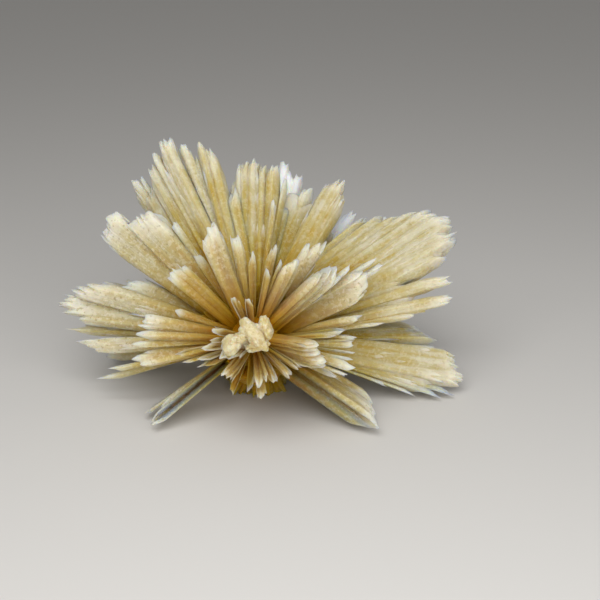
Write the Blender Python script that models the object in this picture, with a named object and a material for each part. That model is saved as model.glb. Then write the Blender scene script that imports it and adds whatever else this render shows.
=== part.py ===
"""Calcite flower: a loose rosette of honey-yellow calcite blades that grew together from one heart.

The whole flower is one piece of stone, so it is one solid: a small rounded heart on a short foot,
and blades that run out from the heart in every direction and are fused where they cross.
The foot is cut flat where the flower came off its rock, and the flower stands on that flat spot
and on the tips of a few low blades. Metres, +Z up, the front of the flower towards -Y, and the
origin in the middle of the flat spot.
"""

import math

import bmesh
import bpy
from mathutils import Matrix, Vector

# Driving sizes, in metres.
MM = 0.001
HEART = Vector((0.0, -5.0 * MM, 9.5 * MM))  # where all the blades start
HEART_RADII = (7.6 * MM, 7.6 * MM, 7.0 * MM)
FOOT_RADIUS = 6.6 * MM
FOOT_NECK_RADIUS = 6.0 * MM
FLOOR_CUT_DEPTH = 20.0 * MM
FLOOR_CUT_WIDTH = 160.0 * MM

# The blade shape: a flattened six-sided prism that widens from the heart and ends in a chisel.
BLADE_SIDES = 6
ROOT_SHARE = 0.30  # width at the root, as a share of the full width
SHOULDER = 0.88  # where the chisel starts, as a share of the length
TIP_WIDTH_SHARE = 0.50
TIP_THICKNESS_SHARE = 0.30
WIDTH_PER_GAP = 1.25  # a blade's width, for each gap between neighbouring tips
NARROWEST = 1.2 * MM
WIDEST = 3.2 * MM

# The tips in front are stated as they look from the front: 22 degrees above level and 200 mm away,
# in millimetres across and up from the heart, on the plane through the heart that faces the eye.
VIEW_RISE = math.radians(22)
VIEW_DISTANCE_MM = 200.0
VIEW_AXIS_MM = (6.75, 5.7)

# Each fan is a row of blades side by side: thickness in mm, how far in front of the heart's plane
# its first and last tips stand in mm, and its tips (across, up) from one side to the other.
FRONT_FANS = {
    "upper_left": (2.4, -9, -7, [
        (-18.4, 24.0), (-17.2, 24.3), (-15.9, 26.1), (-15.1, 27.8), (-14.1, 29.7), (-12.9, 30.2)]),
    "upper_left_thin": (1.2, -9, -9, [(-10.9, 29.4), (-9.6, 27.8)]),
    "upper_left_blade": (2.0, -5, -4, [(-8.4, 29.5), (-7.0, 28.9), (-5.2, 26.6)]),
    "top_sheet": (2.2, -8, -7, [
        (-3.5, 23.5), (-2.2, 26.4), (-0.7, 27.0), (1.3, 26.6), (2.4, 26.2), (3.6, 25.9)]),
    "top_sheet_front": (1.0, -4, -3, [(4.4, 23.9), (2.8, 21.0)]),
    "behind_top": (2.4, -17, -14, [(4.7, 26.3), (6.6, 24.8), (8.4, 22.9)]),
    "upper_right_blade": (2.6, -4, -3, [(10.9, 23.2), (12.2, 23.9), (13.2, 23.4)]),
    "behind_right": (1.8, -17, -17, [(14.8, 19.1), (13.4, 17.6)]),
    "right_fan": (3.0, -7, 0, [
        (16.6, 18.1), (19.5, 18.1), (21.8, 17.9), (24.3, 18.8), (26.8, 19.2), (29.2, 17.8),
        (30.4, 14.8), (28.6, 12.0), (25.2, 9.3)]),
    "right_fingers": (1.8, 1, 2, [(29.8, 9.0), (29.8, 6.0), (26.6, 4.2)]),
    "lower_right_fan": (2.4, -6, -3, [
        (24.0, 1.2), (25.5, 0.4), (27.3, -0.3), (30.0, -3.1), (31.2, -5.0), (30.8, -6.8),
        (29.8, -8.5), (27.9, -9.0), (24.0, -8.8), (20.1, -7.5)]),
    "lower_right_foot": (2.2, 0, 8.8, [(18.0, -10.4), (18.1, -11.4), (18.2, -12.4), (18.6, -13.9)]),
    "right_front": (1.8, 8, 12, [(18.3, 2.1), (16.2, 3.3), (13.7, 1.2), (15.3, -0.9)]),
    "right_front_low": (1.8, 12, 11, [(15.0, -2.7), (15.1, -4.5), (13.9, -5.7)]),
    "right_of_knob": (1.8, 17, 15, [(9.9, -1.3), (10.6, -4.1), (7.0, -4.6), (5.5, -5.8)]),
    "knob": (3.2, 22, 21, [(0.2, 1.6), (1.6, 0.2), (-1.0, -0.8), (-3.8, -2.2)]),
    "left_of_knob": (1.6, 19, 16, [(-6.4, 0.9), (-7.9, -1.5), (-8.7, -3.8)]),
    "left_low": (1.6, 15, 15, [(-12.2, -2.4), (-9.4, -5.6)]),
    "below_knob": (1.6, 18, 13, [(-4.6, -6.0), (-3.4, -7.0), (-1.1, -8.1), (1.0, -9.2)]),
    "below_knob_right": (1.6, 16, 15, [(1.8, -6.5), (3.4, -6.9)]),
    "above_knob": (1.6, 18, 14, [(-3.6, 6.1), (-1.2, 6.0), (1.4, 9.8), (4.0, 11.7), (6.6, 12.2)]),
    "above_knob_tall": (1.4, 12, 12, [(-0.3, 13.3), (3.0, 14.1)]),
    "upper_front_pair": (1.8, 11, 8, [(-8.7, 13.0), (-7.6, 14.8), (-6.3, 17.1), (-3.3, 15.8)]),
    "right_rough": (2.6, 14, 10, [
        (11.7, 10.5), (14.2, 11.0), (16.5, 11.2), (18.2, 11.9), (18.6, 10.0)]),
    "behind_rough": (1.8, 9, 8, [(8.4, 14.7), (10.7, 14.5)]),
    "left_upper_fan": (2.6, -2, 4, [
        (-16.6, 9.3), (-21.4, 13.8), (-23.3, 16.2), (-22.4, 18.2), (-20.8, 19.1), (-19.3, 18.1),
        (-15.9, 19.1), (-12.3, 17.7)]),
    "left_fan": (2.4, 0, 4, [
        (-20.2, 8.4), (-25.9, 8.2), (-27.8, 7.3), (-29.5, 5.3), (-29.1, 3.8), (-28.5, 1.5),
        (-26.8, -0.6), (-24.0, -2.1)]),
    "left_front": (1.8, 10, 12, [
        (-16.6, 3.4), (-18.0, 1.4), (-18.6, -0.8), (-18.6, -3.3), (-17.4, -4.2)]),
    "left_floor": (1.2, -2, 0, [(-23.7, -6.1), (-22.1, -4.6)]),
    "left_floor_thin": (1.0, 3.4, 8.0, [(-16.8, -11.6), (-16.1, -13.5)]),
    "left_floor_short": (1.4, 2, 3, [(-12.8, -8.0), (-10.8, -8.8)]),
}

# The fans behind, as directions from the heart: degrees round from +X towards the back, degrees
# above level, reach in mm, how many blades, how many degrees they spread, and the row's roll.
BACK_FANS = [
    (20, -8, 28.5, 4, 17, 8),
    (28, 12, 29.0, 4, 15, -20),
    (50, -15, 28.0, 4, 17, 5),
    (62, 14, 27.5, 5, 18, 30),
    (85, -17, 29.0, 4, 17, 0),
    (96, 20, 27.0, 5, 18, -25),
    (118, -5, 28.5, 5, 17, 12),
    (132, 26, 27.0, 4, 16, -35),
    (150, -16, 28.0, 4, 16, 0),
    (160, 10, 28.0, 4, 15, 20),
    (70, 42, 24.0, 4, 18, 60),
    (112, 48, 24.0, 4, 18, -60),
    (40, 28, 25.0, 4, 16, -40),
    (150, 42, 24.0, 4, 16, 40),
]
BACK_THICKNESS = 2.2 * MM

# Short blades that stand between the fans on the back, spread evenly by the golden angle.
SHORT_BLADES = 26
SHORT_REACH = (14.0 * MM, 19.0 * MM)
SHORT_WIDTH = 2.6 * MM
SHORT_THICKNESS = 1.6 * MM
GOLDEN_ANGLE = math.pi * (3 - math.sqrt(5))
GOLDEN_SHARE = 0.618034


def as_seen(across, up, toward):
    """The place of a tip in metres, from where it looks to be and how far forward it stands."""
    nearer = 1 - toward / VIEW_DISTANCE_MM
    across = VIEW_AXIS_MM[0] + (across - VIEW_AXIS_MM[0]) * nearer
    up = VIEW_AXIS_MM[1] + (up - VIEW_AXIS_MM[1]) * nearer
    place = Vector((
        across,
        up * math.sin(VIEW_RISE) - toward * math.cos(VIEW_RISE),
        up * math.cos(VIEW_RISE) + toward * math.sin(VIEW_RISE),
    ))
    return HEART + place * MM


def front_row(toward_first, toward_last, tips):
    """The tips of one fan in front, its forward lean running evenly from first to last."""
    last = max(len(tips) - 1, 1)
    row = []
    for number, (across, up) in enumerate(tips):
        toward = toward_first + (toward_last - toward_first) * number / last
        row.append(as_seen(across, up, toward))
    return row


def back_row(around, rise, reach, count, spread, roll):
    """The tips of one fan behind: an arc of blades about one direction, long in its middle."""
    around, rise, spread, roll = (math.radians(angle) for angle in (around, rise, spread, roll))
    middle = Vector((
        math.cos(rise) * math.cos(around),
        math.cos(rise) * math.sin(around),
        math.sin(rise),
    ))
    level = Vector((-math.sin(around), math.cos(around), 0))
    side = Matrix.Rotation(roll, 3, middle) @ level
    row = []
    for number in range(count):
        turn = spread * (number / (count - 1) - 0.5)
        uneven = 0.94 + 0.10 * ((number * GOLDEN_SHARE + around) % 1)
        length = reach * MM * uneven * math.cos(turn * 1.6)
        row.append(HEART + (middle * math.cos(turn) + side * math.sin(turn)) * length)
    return row


def short_tips():
    """Tips spread evenly over the back half of a ball round the heart."""
    tips = []
    for number in range(SHORT_BLADES):
        height = 0.85 - 1.15 * (number + 0.5) / SHORT_BLADES
        turn = (number * GOLDEN_ANGLE) % math.pi
        level = math.sqrt(1 - height * height)
        direction = Vector((level * math.cos(turn), level * math.sin(turn), height))
        share = (number * GOLDEN_SHARE) % 1
        tips.append(HEART + direction * (SHORT_REACH[0] + (SHORT_REACH[1] - SHORT_REACH[0]) * share))
    return tips


def blade_mesh(name, tip, side, width, thickness):
    """One blade from the heart to its tip, wide along side: a flared cone with a chisel end."""
    bm = bmesh.new()
    bmesh.ops.create_cone(
        bm, cap_ends=True, segments=BLADE_SIDES, radius1=0.5 * ROOT_SHARE, radius2=0.5,
        depth=SHOULDER, matrix=Matrix.Translation((0, 0, SHOULDER / 2)))
    top = max(bm.faces, key=lambda face: face.calc_center_median().z)
    end = bmesh.ops.extrude_discrete_faces(bm, faces=[top])["faces"][0]
    for corner in end.verts:
        corner.co.x *= TIP_WIDTH_SHARE
        corner.co.y *= TIP_THICKNESS_SHARE
        corner.co.z = 1
    along = tip - HEART
    across = side - side.project(along)
    across.normalize()
    flat = along.normalized().cross(across)
    place = Matrix((across * width, flat * thickness, along)).transposed().to_4x4()
    bmesh.ops.transform(bm, matrix=Matrix.Translation(HEART) @ place, verts=bm.verts)
    mesh = bpy.data.meshes.new(name)
    bm.to_mesh(mesh)
    bm.free()
    return mesh


def add_row(name, tips, thickness, cutters):
    """Make one fan: each blade is turned so that its flat lies along the row of tips."""
    last = len(tips) - 1
    for number, tip in enumerate(tips):
        before = tips[max(number - 1, 0)]
        after = tips[min(number + 1, last)]
        side = after - before
        gaps = min(number + 1, last) - max(number - 1, 0)
        width = min(max(side.length / gaps * WIDTH_PER_GAP, NARROWEST), WIDEST)
        add_cutter(f"{name}_{number}", blade_mesh(name, tip, side, width, thickness), cutters)


def add_cutter(name, mesh, cutters):
    """Put a helper shape in the scene, drawn as wire and left out of renders."""
    shape = bpy.data.objects.new(name, mesh)
    shape.hide_render = True
    shape.display_type = "WIRE"
    cutters.objects.link(shape)
    return shape


def heart_mesh():
    """The rounded heart where the blades meet: a coarse ball squeezed to its three radii."""
    bm = bmesh.new()
    bmesh.ops.create_icosphere(bm, subdivisions=2, radius=1)
    place = Matrix.Translation(HEART) @ Matrix.Diagonal((*HEART_RADII, 1))
    bmesh.ops.transform(bm, matrix=place, verts=bm.verts)
    mesh = bpy.data.meshes.new("calcite_flower")
    bm.to_mesh(mesh)
    bm.free()
    return mesh


def foot_mesh():
    """The foot: a short leaning stump from the heart down past the floor."""
    bm = bmesh.new()
    bmesh.ops.create_cone(
        bm, cap_ends=True, segments=12, radius1=FOOT_RADIUS, radius2=FOOT_NECK_RADIUS,
        depth=HEART.z + 1 * MM, matrix=Matrix.Translation((0, 0, (HEART.z - 1 * MM) / 2)))
    for corner in bm.verts:
        corner.co.y += HEART.y * max(corner.co.z, 0) / HEART.z
    mesh = bpy.data.meshes.new("foot")
    bm.to_mesh(mesh)
    bm.free()
    return mesh


def floor_cut_mesh():
    """A block with its top face on the floor, which takes away all that reaches below."""
    bm = bmesh.new()
    size = Matrix.Diagonal((FLOOR_CUT_WIDTH, FLOOR_CUT_WIDTH, FLOOR_CUT_DEPTH, 1))
    bmesh.ops.create_cube(bm, size=1, matrix=Matrix.Translation((0, 0, -FLOOR_CUT_DEPTH / 2)) @ size)
    mesh = bpy.data.meshes.new("floor_cut")
    bm.to_mesh(mesh)
    bm.free()
    return mesh


def calcite_material():
    """Milky honey-yellow calcite with a soft gloss."""
    material = bpy.data.materials.new("honey_calcite")
    material.use_nodes = True
    shader = material.node_tree.nodes["Principled BSDF"]
    shader.inputs["Base Color"].default_value = (0.62, 0.46, 0.20, 1)
    shader.inputs["Roughness"].default_value = 0.4
    shader.inputs["Metallic"].default_value = 0.0
    return material


for old in list(bpy.data.objects):
    bpy.data.objects.remove(old, do_unlink=True)

parts = bpy.data.collections.new("calcite_flower")
blades = bpy.data.collections.new("blades")
cuts = bpy.data.collections.new("cuts")
for group in (parts, blades, cuts):
    bpy.context.scene.collection.children.link(group)

add_cutter("foot", foot_mesh(), blades)
for fan_name, (thickness_mm, first, last_toward, fan_tips) in FRONT_FANS.items():
    add_row(fan_name, front_row(first, last_toward, fan_tips), thickness_mm * MM, blades)
for fan_number, fan in enumerate(BACK_FANS):
    add_row(f"back_{fan_number}", back_row(*fan), BACK_THICKNESS, blades)
for short_number, short_tip in enumerate(short_tips()):
    swing = Vector((math.cos(short_number), 0, math.sin(short_number)))
    short = blade_mesh("short", short_tip, swing, SHORT_WIDTH, SHORT_THICKNESS)
    add_cutter(f"short_{short_number}", short, blades)
floor_cut = add_cutter("floor_cut", floor_cut_mesh(), cuts)

flower = bpy.data.objects.new("calcite_flower", heart_mesh())
flower.data.materials.append(calcite_material())
parts.objects.link(flower)
grow = flower.modifiers.new("blades grown together", "BOOLEAN")
grow.operation = "UNION"
grow.solver = "MANIFOLD"
grow.operand_type = "COLLECTION"
grow.collection = blades
level_off = flower.modifiers.new("cut flat at the floor", "BOOLEAN")
level_off.operation = "DIFFERENCE"
level_off.solver = "MANIFOLD"
level_off.object = floor_cut
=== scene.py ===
import bmesh
import bpy
import numpy as np
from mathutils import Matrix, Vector


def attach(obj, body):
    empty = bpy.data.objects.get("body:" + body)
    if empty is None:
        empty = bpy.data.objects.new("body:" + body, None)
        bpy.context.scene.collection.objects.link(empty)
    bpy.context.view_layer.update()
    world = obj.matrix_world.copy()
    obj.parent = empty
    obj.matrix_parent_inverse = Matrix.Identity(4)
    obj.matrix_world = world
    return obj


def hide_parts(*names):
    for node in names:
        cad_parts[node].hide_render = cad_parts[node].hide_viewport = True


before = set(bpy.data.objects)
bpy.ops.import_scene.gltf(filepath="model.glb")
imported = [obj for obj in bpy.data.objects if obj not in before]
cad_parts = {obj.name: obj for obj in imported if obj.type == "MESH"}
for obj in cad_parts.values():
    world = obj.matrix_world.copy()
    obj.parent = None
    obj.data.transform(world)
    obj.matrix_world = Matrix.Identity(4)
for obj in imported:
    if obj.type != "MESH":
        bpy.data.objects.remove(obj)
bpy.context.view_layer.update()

# The heart of the flower.
# A knot of short calcite blades on a stump that was broken flat from the rock below it.
# Every blade of the flower starts here, so the way a blade grows is worked out here as well.
MM = 0.001
HEART = np.array([0.0, -5.0, 9.5])  # mm, where all the blades start
HEART_RADII = np.array([6.9, 6.9, 6.6])
VIEW_RISE = np.radians(22)  # how far above level the flower is looked at from
TO_VIEWER = np.array([0, -np.cos(VIEW_RISE), np.sin(VIEW_RISE)])
CORE_FORWARD = 7.5  # mm; the knot bulges towards the viewer, where the knob grew on it
CORE = HEART + TO_VIEWER * CORE_FORWARD
CORE_RADII = np.array([3.2, 3.2, 3.6])
HEART_BLADES = 90
HEART_REACH = (6.8, 9.8)  # mm from the middle of the heart to the tips of its short blades
HEART_WIDTH = (2.2, 4.0)
HEART_THICKNESS = (1.4, 2.2)
HEART_LOWEST = -0.6  # sine of how far below level the lowest of them points
FOOT_BLADES = 46
FOOT_RADIUS = 5.4
FOOT_WIDTH = (1.4, 2.6)
FOOT_THICKNESS = 1.6
FOOT_TIPS = (-1.6, 0.4)  # mm above the floor, which cuts off what is below it
KNOT_OUT = 0.2  # the two lumps under the short blades are coloured as deep stone,
KNOT_TO_END = 9.0  # this many mm from any pale end
GOLDEN_ANGLE = np.pi * (3 - np.sqrt(5))

# A blade is a flared slab. Lines run along it from the root to its ragged end, close together,
# and each crosswise ring of its mesh stands at the same share of all these lines.
LINE_GAP = 0.14  # mm between two lines, measured along the end
FEWEST_LINES = 9
RING_SHARES = np.array([0, 0.18, 0.36, 0.52, 0.66, 0.78, 0.86, 0.915, 0.95, 0.975, 0.99, 1.0])
ROOT_START = 2.0  # mm from the heart to the middle of a blade's root
ROOT_WIDTH = 0.60  # a blade's width at the root, as a share of its width at the end
ROOT_BEND = 0.5  # how much of the bend of its end a blade keeps at the root
ROOT_THICKNESS = 0.95  # as a share of the full thickness
FULL_BODY = 0.6  # share of a blade's length at which its full thickness and ridges are reached
TOOTH_GAP = 0.9  # mm from one tooth to the next where only the main tips are given
LOWER_TOOTH = 0.5  # mm by which the teeth between two main tips may be lower
NOTCH_PLACE = (0.4, 0.6)  # of the way from one tooth to the next
NOTCH_DEPTH = (0.3, 1.6)  # mm
SHOULDER_DROP = (0.6, 1.5)  # mm from the outermost tips back to where the long edges begin
SHOULDER_OUT = 0.12  # of the gap between two tips, by which the long edges stand further out
SPLINTER_GAP = (0.22, 0.7)  # mm from one fine splinter to the next along every end
SPLINTER_DEPTH = 1.3  # mm, on an end that lies straight across the blade
RIDGE_GAP = (0.25, 1.5)  # mm from one lengthwise ridge to the next
RIDGE_HEIGHT = 0.035  # of the thickness
GRIT = 0.008  # mm; fine unevenness from line to line
CHISEL = 1.5  # mm over which each line thins to its end,
CHISEL_EDGE = 0.12  # which it would reach this many mm further out
BEVEL = 0.6  # mm over which a blade thins to its two long edges,
BEVEL_EDGE = 0.10  # where this share of it is left
TOOTH_REACH = 0.5  # mm to each side in which a notch is measured against the teeth beside it
TIP_REACH = 1.0  # mm to each side in which the longest line counts as the tip
FULL_NOTCH = 1.6  # mm; a notch of this depth has the full groove below it
GROOVE_DEPTH = 0.2  # of the thickness
GROOVE_REACH = 1.5  # mm over which the groove below a notch fades out
THINNEST = 0.15  # of the thickness
FULL_LENGTH = 17.0  # mm; a blade shorter than this has a shorter pale end
OTHER_FACE = 20.0  # mm; keeps the pattern of a blade's back apart from that of its front


def unit(vectors):
    """Each vector divided by its own length."""
    return vectors / np.linalg.norm(vectors, axis=-1, keepdims=True)


def uneven_steps(length, gap, rng):
    """Places from 0 to a length, a random gap apart."""
    steps = np.cumsum(rng.uniform(*gap, int(length / gap[0]) + 2))
    return np.concatenate([[0], steps[steps < length], [length]])


def toothed(tips, rng):
    """An outline through the tips of a row, with notches and lower teeth between them.

    It begins and ends at a shoulder, a little below the outermost tip and a little outside it."""
    away = unit(tips - HEART)
    drop = away[0] * rng.uniform(*SHOULDER_DROP)
    points = [tips[0] - drop - (tips[1] - tips[0]) * SHOULDER_OUT, tips[0]]
    for start, end, way in zip(tips[:-1], tips[1:], away):
        teeth = max(1, int(round(np.linalg.norm(end - start) / TOOTH_GAP)))
        for tooth in range(teeth):
            notch = (tooth + rng.uniform(*NOTCH_PLACE)) / teeth
            points.append(start + (end - start) * notch - way * rng.uniform(*NOTCH_DEPTH))
            peak = start + (end - start) * (tooth + 1) / teeth
            points.append(peak - way * (rng.uniform(0, LOWER_TOOTH) if tooth + 1 < teeth else 0))
    drop = away[-1] * rng.uniform(*SHOULDER_DROP)
    points.append(tips[-1] - drop + (tips[-1] - tips[-2]) * SHOULDER_OUT)
    return np.array(points)


def blade(outline, thickness, rng, frost, start=HEART, facing=None, depth=0.0):
    """One closed slab from a start in the heart to the outline of its ragged end, in mm.

    Each line is straight, from its place in the root to its place on the outline, and is cut
    shorter by its splinter: SPLINTER_DEPTH * (random share) ** 1.5, less where the outline runs
    along the blade. The half thickness is (thickness / 2 * body * (1 + ridges - grooves) + grit) *
    chisel * bevel, where the ridges run lengthwise at random places, grooves lie below the
    notches, and chisel and bevel thin the slab towards its end and its two long edges. Out runs
    from 0 at the start to 1 at the end, and to_end is mm from the tip, more on a short blade, so
    that its pale end is shorter too, and more by the given depth."""
    gaps = np.linalg.norm(np.diff(outline, axis=0), axis=1)
    stated = np.concatenate([[0], np.cumsum(gaps)])
    width = stated[-1]
    lines = max(FEWEST_LINES, int(round(width / LINE_GAP)))
    place = np.linspace(0, width, lines)
    ends = np.stack([np.interp(place, stated, outline[:, part]) for part in range(3)], -1)

    middle = ends.mean(0)
    axis = unit(middle - start)
    row = outline[-1] - outline[0]
    side = unit(row - axis * np.dot(row, axis))
    flat = np.cross(side, axis)
    if facing is not None and np.dot(flat, facing) < 0:
        return blade(outline[::-1], thickness, rng, frost, start, None, depth)
    level = (ends - middle) @ side
    rise = (ends - middle) @ flat
    roots = start + axis * ROOT_START
    roots = roots + np.outer(level, side) * ROOT_WIDTH + np.outer(rise, flat) * ROOT_BEND
    length = np.linalg.norm(ends - roots, axis=1)
    nearest = np.abs(level[:, None] - level)
    tooth = np.where(nearest < TOOTH_REACH, length, 0).max(1)
    notched = np.clip((tooth - length) / FULL_NOTCH, 0, 1)
    longest = np.where(nearest < TIP_REACH, length, 0).max(1)
    splinters = uneven_steps(width, SPLINTER_GAP, rng)
    short = np.interp(place, splinters, SPLINTER_DEPTH * rng.random(len(splinters)) ** 1.5)
    short *= np.clip(1.3 * np.abs(np.gradient(level, place)) - 0.1, 0.1, 1)
    ends = roots + (ends - roots) * (1 - short / length)[:, None]
    length = length - short

    rings = RING_SHARES[:, None]
    spine = roots + (ends - roots) * rings[..., None]
    to_end = (1 - rings) * length
    to_tip = (longest - rings * length) * max(1, FULL_LENGTH / length.mean()) ** 1.5
    groove = GROOVE_DEPTH * notched * np.exp(-to_end / GROOVE_REACH)
    chisel = np.minimum(1, (to_end + CHISEL_EDGE) / CHISEL) ** 0.7
    across = level.max() - level.min()
    edge = np.minimum(level - level.min(), level.max() - level)
    bevel = np.minimum(1, edge / min(BEVEL, across / 2) + BEVEL_EDGE) ** 0.6
    ramp = np.minimum(1, rings / FULL_BODY)
    body = ROOT_THICKNESS + (1 - ROOT_THICKNESS) * ramp
    halves = []
    for face in range(2):
        ridges = uneven_steps(across, RIDGE_GAP, rng)
        heights = rng.normal(0, RIDGE_HEIGHT, len(ridges))
        ridge = np.interp(level - level.min(), ridges, heights)
        grit = rng.normal(0, GRIT, lines)
        half = thickness / 2 * body * (1 + ridge * ramp - groove) + grit * ramp
        halves.append(np.maximum(half, THINNEST * thickness) * chisel * bevel)
    front = spine + halves[0][..., None] * flat
    back = spine - halves[1][..., None] * flat

    out = np.linalg.norm(spine - start, axis=-1) / np.linalg.norm(middle - start)
    across_at = level - level.min()
    return {
        "points": np.concatenate([front, back[:, ::-1]], 1),
        "out": np.concatenate([out, out[:, ::-1]], 1),
        "to_end": np.concatenate([to_tip, to_tip[:, ::-1]], 1) + depth,
        "frost": frost,
        "across": np.concatenate([across_at, across_at[::-1] + OTHER_FACE]) + rng.uniform(0, 100),
        "side": side, "flat": flat, "level": level,
        "ends": ends, "roots": roots, "length": length, "start": start,
    }


LUMP_RINGS = 26
LUMP_LINES = 40
LUMP_POLE = 0.06  # radians from the poles of a lump to its first and last ring
LUMP_WAVES = 8
FIRST_WAVE = 2.2  # spread of the radians that the first wave turns over half a lump
FINER = 1.22  # how much finer, and lower, each wave is than the one before
LOWER = 1.3  # how much lower all waves are than the given bumps
ANY_PLACE = 6.28  # radians of a wave's shift


def lobe(centre, directions, radii, out, to_end, frost, rng, bumps):
    """One closed rounded lump: centre + (x, y, z) * radii * swell along three directions.

    x = cos(turn) * sin(fall), y = sin(turn) * sin(fall), z = -cos(fall), and the swell is
    1 + bumps * a sum of eight waves over the direction, each finer and lower than the last."""
    fall = np.linspace(LUMP_POLE, np.pi - LUMP_POLE, LUMP_RINGS)[:, None]
    turn = np.arange(LUMP_LINES) * 2 * np.pi / LUMP_LINES
    ball = np.stack([
        np.cos(turn) * np.sin(fall), np.sin(turn) * np.sin(fall), -np.cos(fall) + 0 * turn], -1)
    swell = 1.0
    for wave in range(LUMP_WAVES):
        finer = FINER ** wave
        way = rng.normal(0, FIRST_WAVE * finer, 3)
        height = np.sin(ball @ way + rng.uniform(0, ANY_PLACE))[..., None]
        swell = swell + bumps * height / LOWER / finer
    points = centre + (ball * swell * radii) @ directions
    return {
        "points": points, "out": np.full(points.shape[:2], out),
        "to_end": np.full(points.shape[:2], to_end), "frost": frost, "across": turn * 0}


# Where the faces of a solid lie along and across its strip of the unrolled sheet.
WALLS_ALONG = (0.05, 0.92)
ROOT_END_ALONG = 0.01
TIP_END_ALONG = 0.95
END_WIDTH = 0.025
STRIP_MARGIN = 0.03
STRIP_ACROSS = 0.94


def ring_faces(rings, around):
    """Corner numbers of a solid made of rings: its walls, its root end and its tip end.

    The two ends are closed by strips across the ring, from one long side to the other."""
    ring, here = np.meshgrid(np.arange(rings - 1), np.arange(around), indexing="ij")
    beside = (here + 1) % around
    low = ring * around
    walls = np.stack([low + here, low + beside, low + around + beside, low + around + here], -1)
    near = np.arange(around // 2 - 1)
    far = around - 1 - near
    root_end = np.stack([near, far, far - 1, near + 1], -1)
    tip_end = np.stack([near, near + 1, far - 1, far], -1) + (rings - 1) * around
    return walls.reshape(-1, 4), root_end, tip_end


def ring_maps(solid, left, low, wide, high):
    """Three maps for each corner of each face of one solid: walls, root end, tip end.

    The first says how far out along its blade the corner is, and how many mm from its end.
    The second says how frosted the blade is, and how far across it the corner is, in mm.
    The third unrolls the solid into a strip of a square sheet, with the two ends beside it."""
    rings, around = solid["out"].shape
    walls, root_end, tip_end = ring_faces(rings, around)
    faces = np.concatenate([walls, root_end, tip_end])
    out = solid["out"].ravel()[faces]
    place = faces % around
    to_end = solid["to_end"].ravel()[faces]
    across = solid["across"][place]
    wrapped = place[:, 1] < place[:, 0]
    wrapped[len(walls):] = False
    across[wrapped, 1:3] = across[wrapped, :1] + LINE_GAP
    frost = np.full(out.shape, solid["frost"])

    along = np.linspace(*WALLS_ALONG, rings)[faces // around]
    up = place / around
    up[wrapped, 1:3] = 1.0
    ends = slice(len(walls), None)
    half = around // 2
    side = place[ends] >= half
    one_way = np.where(side, around - 1 - place[ends], place[ends]) / (half - 1)
    up[ends] = one_way
    tip = np.arange(len(faces) - len(walls)) >= len(root_end)
    along[ends] = np.where(tip[:, None], TIP_END_ALONG, ROOT_END_ALONG) + np.where(side, END_WIDTH, 0.0)
    sheet = np.stack([left + wide * along, low + high * (STRIP_MARGIN + STRIP_ACROSS * up)], -1)
    return (
        np.stack([out, to_end], -1).reshape(-1, 2),
        np.stack([frost, across], -1).reshape(-1, 2),
        sheet.reshape(-1, 2))


def one_body():
    """Geometry nodes that join all the closed solids of a mesh into one closed body."""
    name = "grown together"
    if name in bpy.data.node_groups:
        return bpy.data.node_groups[name]
    tree = bpy.data.node_groups.new(name, "GeometryNodeTree")
    tree.interface.new_socket("Geometry", in_out="INPUT", socket_type="NodeSocketGeometry")
    tree.interface.new_socket("Geometry", in_out="OUTPUT", socket_type="NodeSocketGeometry")
    solids = tree.nodes.new("NodeGroupInput")
    island = tree.nodes.new("GeometryNodeInputMeshIsland")
    split = tree.nodes.new("GeometryNodeSplitToInstances")
    split.domain = "FACE"
    union = tree.nodes.new("GeometryNodeMeshBoolean")
    union.operation = "UNION"
    union.solver = "MANIFOLD"
    body = tree.nodes.new("NodeGroupOutput")
    tree.links.new(solids.outputs[0], split.inputs[0])
    tree.links.new(island.outputs["Island Index"], split.inputs["Group ID"])
    tree.links.new(split.outputs[0], union.inputs[1])
    tree.links.new(union.outputs[0], body.inputs[0])
    return tree


def floor_block():
    """A block whose top is the floor, for trimming off what reaches below it."""
    name = "below the floor"
    if name in bpy.data.objects:
        return bpy.data.objects[name]
    corners = np.array([[x, y, z] for z in (-20, 0) for y in (-80, 80) for x in (-80, 80)]) * MM
    faces = [(0, 2, 3, 1), (4, 5, 7, 6), (0, 1, 5, 4), (1, 3, 7, 5), (3, 2, 6, 7), (2, 0, 4, 6)]
    mesh = bpy.data.meshes.new(name)
    mesh.from_pydata(corners.tolist(), [], faces)
    return bpy.data.objects.new(name, mesh)


def delete_lone_faces(mesh):
    """Delete each face that is left alone where two faces of a joined body fell on each other."""
    body = bmesh.new()
    body.from_mesh(mesh)
    lone = [face for face in body.faces if any(edge.is_boundary for edge in face.edges)]
    bmesh.ops.delete(body, geom=lone, context="FACES")
    body.to_mesh(mesh)
    body.free()


STACKS = 3  # columns of strips on the square sheet on which a piece is unrolled


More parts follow.
